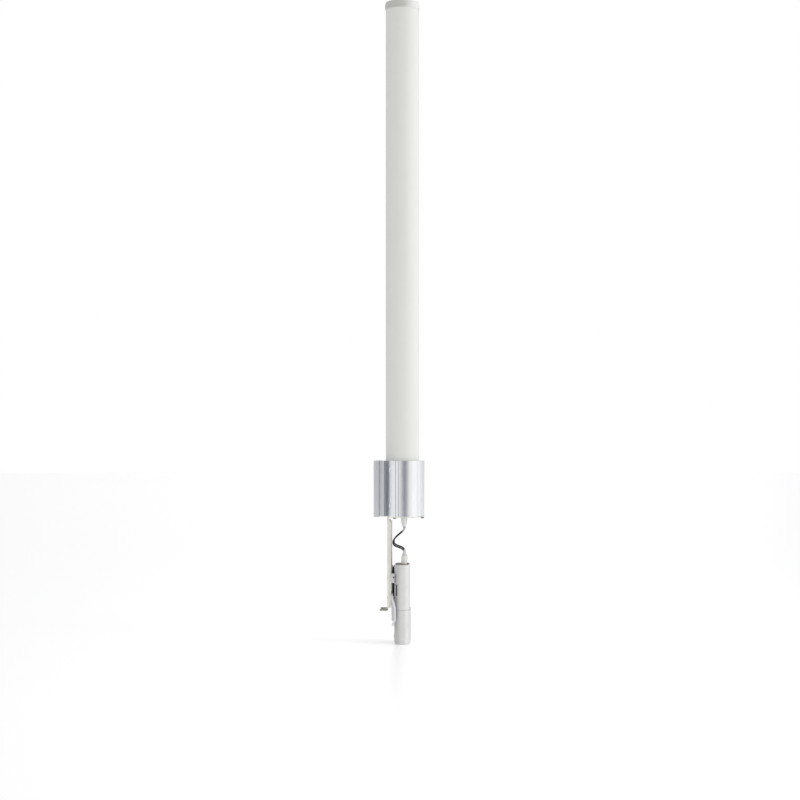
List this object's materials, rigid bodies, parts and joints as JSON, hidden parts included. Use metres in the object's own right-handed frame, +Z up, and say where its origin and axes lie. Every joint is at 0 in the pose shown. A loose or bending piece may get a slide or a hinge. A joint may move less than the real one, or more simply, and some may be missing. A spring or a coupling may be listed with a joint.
{
  "type": "omnidirectional antenna",
  "caption": "Tall tubular omnidirectional antenna in an extruded pole bracket, with a folded bracket that holds a slim radio joined by short coaxial jumpers.",
  "frame": {"origin": "on the pole's axis, at the middle of the mounting extrusion's length", "axes": "+Z up the pole and along the radome, +X from the pole's axis to the radome's axis, +Y across"},
  "size_m": [0.0975, 0.09, 1.245],
  "materials": {
    "radome": "satin white fibreglass",
    "cap": "light grey",
    "seal": "black",
    "extruded_aluminium": "bright anodised",
    "plug_plastic": "dark moulded",
    "zinc_steel": "warm zinc plate",
    "screw_steel": "dark plated",
    "board": "solder mask",
    "copper": "copper",
    "foam": "closed-cell foam",
    "gold": "gold plate",
    "boot": "light grey moulding",
    "heat_shrink_grey": "heat-shrink",
    "heat_shrink_white": "heat-shrink",
    "lead_jacket": "black jacket",
    "pigtail_jacket": "semi-rigid coax",
    "cradle_plastic": "light grey",
    "latch_plastic": "white",
    "black_plastic": "black",
    "bright_steel": "bright",
    "radio_rear": "light grey",
    "radio_front": "white",
    "dark_plate": "dark",
    "clear_light": "clear"
  },
  "bodies": {
    "antenna": {"radome_tube": "radome", "top_cap": "cap", "cap_seal": "seal", "mounting_extrusion": "extruded_aluminium", "base_plug": "plug_plastic", "base_seal": "seal", "radio_bracket": "zinc_steel", "bracket_screws": "screw_steel", "vent_plug": "black_plastic", "feed_board": "board", "dipole_traces": "copper", "loop_boards": "board", "loop_traces": "copper", "foam_spacers": "foam", "feed_pigtail_left": "pigtail_jacket", "feed_pigtail_right": "pigtail_jacket", "base_jack_left": "gold", "base_jack_right": "gold", "base_jack_nuts": "gold", "plug_bodies_top": "heat_shrink_grey", "rf_lead_left": "lead_jacket", "rf_lead_right": "lead_jacket", "cradle": "cradle_plastic", "hook_pins": "black_plastic", "cradle_screws": "screw_steel", "latch_pins": "bright_steel", "latch_springs": "bright_steel"},
    "latch": {"latch_bail": "latch_plastic"},
    "radio": {"mount_rail": "black_plastic", "radio_rear_shell": "radio_rear", "radio_front_shell": "radio_front", "radio_top_plate": "dark_plate", "top_gasket": "seal", "radio_board": "board", "radio_shield": "bright_steel", "ethernet_jack": "bright_steel", "light_pipes": "clear_light", "shell_screws": "screw_steel", "radio_jack_left": "gold", "radio_jack_right": "gold", "plug_bodies_bottom": "heat_shrink_white"},
    "port_cover": {"port_cover": "radio_rear"},
    "reset_button": {"reset_button": "black_plastic"},
    "coupling_top_left": {"boot_top_left": "boot", "coupling_nut_top_left": "gold"},
    "coupling_top_right": {"boot_top_right": "boot", "coupling_nut_top_right": "gold"},
    "coupling_bottom_left": {"boot_bottom_left": "boot", "coupling_nut_bottom_left": "gold"},
    "coupling_bottom_right": {"boot_bottom_right": "boot", "coupling_nut_bottom_right": "gold"}
  },
  "joints": [
    {"name": "radio_slide", "type": "slide", "parent": "antenna", "child": "radio", "axis": [0, 0, 1], "range_m": [0, 0.012], "deforming": ["rf_lead_left", "rf_lead_right"]},
    {"name": "latch_release", "type": "hinge", "parent": "antenna", "child": "latch", "pos_m": [0.04485, 0, -0.208], "axis": [0, 1, 0], "range_deg": [0, 15], "stiffness_Nm_per_rad": 0.15, "springref_deg": -11.46},
    {"name": "port_cover_slide", "type": "slide", "parent": "radio", "child": "port_cover", "axis": [0, 0, -1], "range_m": [0, 0.045]},
    {"name": "reset_press", "type": "slide", "parent": "radio", "child": "reset_button", "axis": [0, 0, 1], "range_m": [0, 0.0006], "stiffness_N_per_m": 300, "springref_m": -0.0005},
    {"name": "coupling_top_left_turn", "type": "hinge", "parent": "antenna", "child": "coupling_top_left", "pos_m": [0.0675, 0.022, -0.0635], "axis": [0, 0, 1], "continuous": true},
    {"name": "coupling_top_right_turn", "type": "hinge", "parent": "antenna", "child": "coupling_top_right", "pos_m": [0.0675, -0.022, -0.0635], "axis": [0, 0, 1], "continuous": true},
    {"name": "coupling_bottom_left_turn", "type": "hinge", "parent": "radio", "child": "coupling_bottom_left", "pos_m": [0.0675, 0.022, -0.1375], "axis": [0, 0, 1], "continuous": true},
    {"name": "coupling_bottom_right_turn", "type": "hinge", "parent": "radio", "child": "coupling_bottom_right", "pos_m": [0.0675, -0.022, -0.1375], "axis": [0, 0, 1], "continuous": true}
  ]
}
